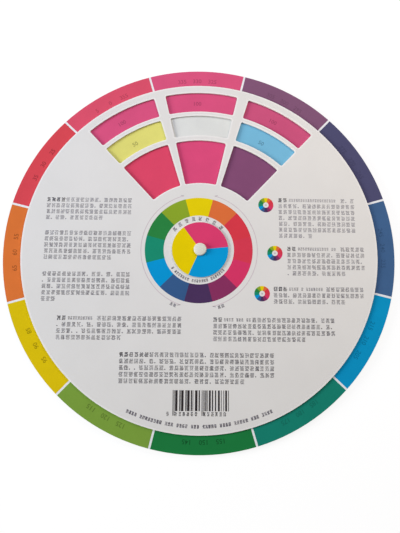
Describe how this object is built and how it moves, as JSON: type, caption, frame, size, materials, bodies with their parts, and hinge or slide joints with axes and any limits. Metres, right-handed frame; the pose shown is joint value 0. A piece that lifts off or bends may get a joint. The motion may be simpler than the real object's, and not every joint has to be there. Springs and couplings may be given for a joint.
{
  "type": "color mixing wheel",
  "caption": "Two-sided card wheel for mixing colours: a printed dial turns between two covers with cut windows, held by a snap rivet with a small three-colour disc.",
  "frame": {"origin": "on the rivet's axis, at the underside of the rivet's flange, which is the lowest point", "axes": "+Z out of the printed front face along the rivet, +Y towards the windows at the top of the print, +X to the right seen from the front"},
  "size_m": [0.235, 0.235, 0.0071],
  "materials": {
    "printed_card": "satin",
    "white_card": "satin",
    "rivet_plastic": "gloss"
  },
  "bodies": {
    "rivet": {"rivet_cap": "rivet_plastic", "rivet_post": "rivet_plastic"},
    "dial": {"dial_disc": "printed_card"},
    "front_cover": {"window_cover": "white_card"},
    "rear_cover": {"back_cover": "white_card"},
    "hub": {"hub_disc": "printed_card"}
  },
  "joints": [
    {"name": "dial_turn", "type": "hinge", "parent": "rivet", "child": "dial", "pos_m": [0, 0, 0.0028], "axis": [0, 0, 1], "continuous": true},
    {"name": "cover_turn", "type": "hinge", "parent": "rivet", "child": "front_cover", "pos_m": [0, 0, 0.0039], "axis": [0, 0, 1], "continuous": true},
    {"name": "back_turn", "type": "hinge", "parent": "rivet", "child": "rear_cover", "pos_m": [0, 0, 0.0017], "axis": [0, 0, 1], "continuous": true},
    {"name": "hub_turn", "type": "hinge", "parent": "rivet", "child": "hub", "pos_m": [0, 0, 0.00485], "axis": [0, 0, 1], "continuous": true}
  ]
}
